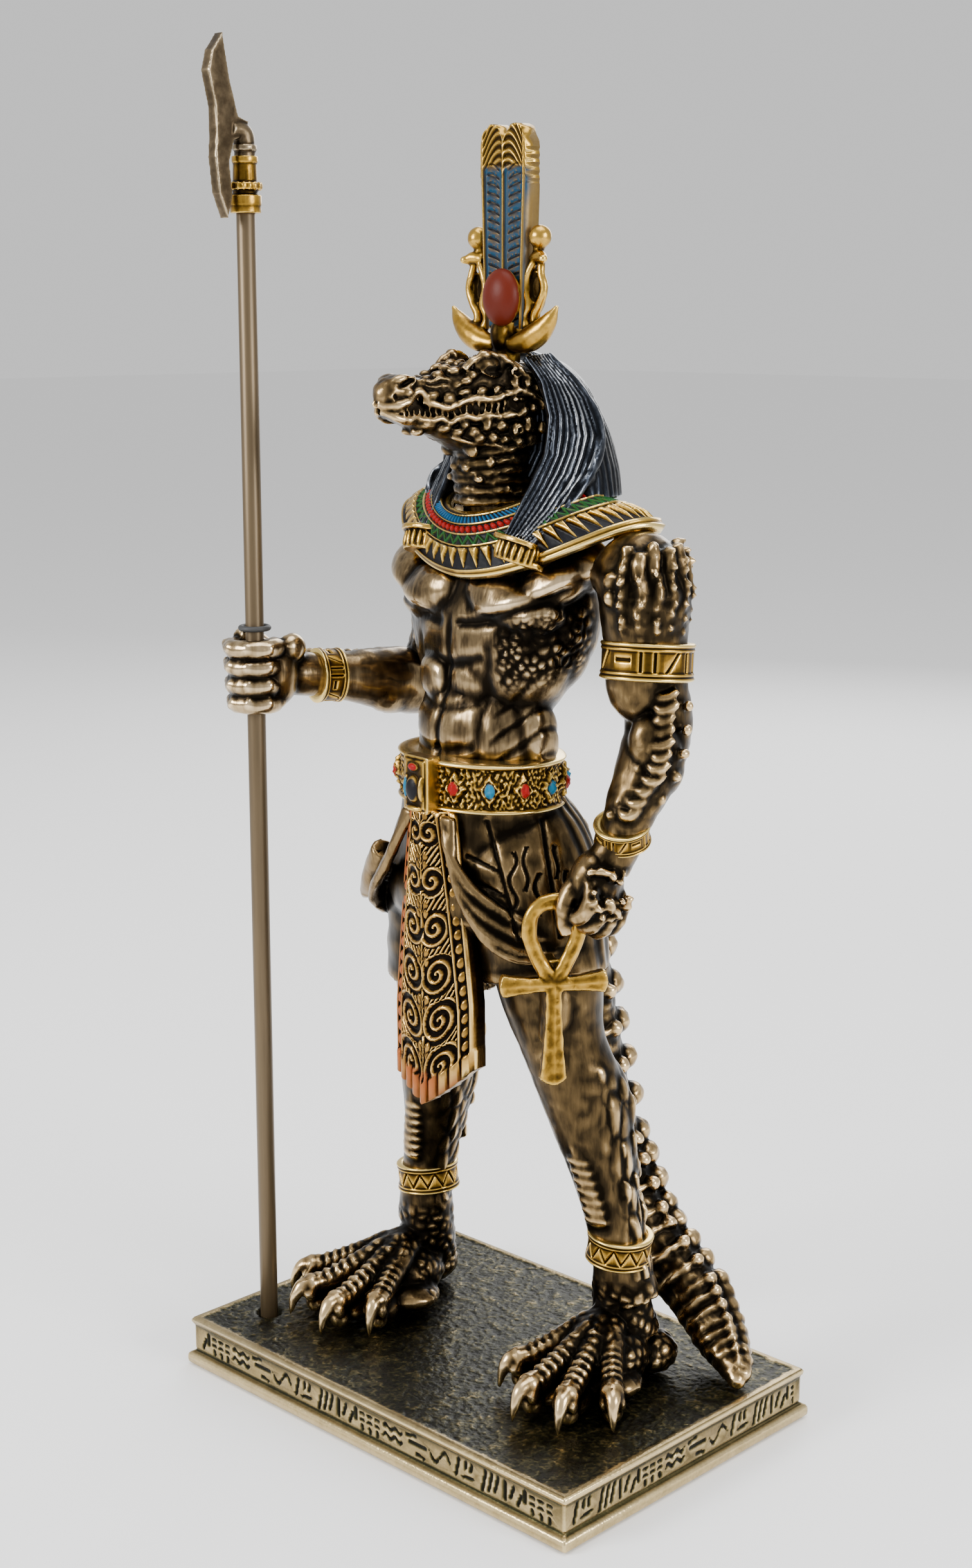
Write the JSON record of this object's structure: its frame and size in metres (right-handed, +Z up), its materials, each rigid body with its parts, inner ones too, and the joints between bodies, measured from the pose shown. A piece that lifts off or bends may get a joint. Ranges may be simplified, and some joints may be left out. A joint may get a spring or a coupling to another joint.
{
  "type": "sobek crocodile figure",
  "caption": "Cast bronze-look figure of a crocodile-headed Egyptian god in a plumed crown, holding a staff and an ankh, standing on its rectangular plinth.",
  "frame": {"origin": "middle of the plinth's flat underside", "axes": "+Z up, along the staff; the figure faces -Y, and its left hand with the ankh is on the +X side"},
  "size_m": [0.1146, 0.0772, 0.2845],
  "materials": {
    "dark_bronze": "cold-cast resin with a dark bronze patina, polished on the high places, with gold and enamel-coloured paint on the crown, collar, belt, apron and bands",
    "plinth_bronze": "cast bronze colour, brassy sides with dark recesses and a granular dark green-black top",
    "brown_rod": "satin brown bronze paint on a straight rod",
    "staff_gold": "bronze blade with a gold painted collar, worn at the edges",
    "black_rubber": "matt black rubber",
    "gold_paint": "old gold paint, worn to brown in the recesses and bright on the edges",
    "black_wig": "blue-black locks with silvery worn ridges",
    "copper_apron": "gold paint running to copper at the edges, black in the pierced pattern",
    "enamel_paint": "small areas of blue, red and green gloss paint between gold lines"
  },
  "bodies": {
    "root": {"figure": "dark_bronze", "plinth": "plinth_bronze", "staff_shaft": "brown_rod", "staff_head": "staff_gold", "grip_ring": "black_rubber"}
  },
  "joints": []
}
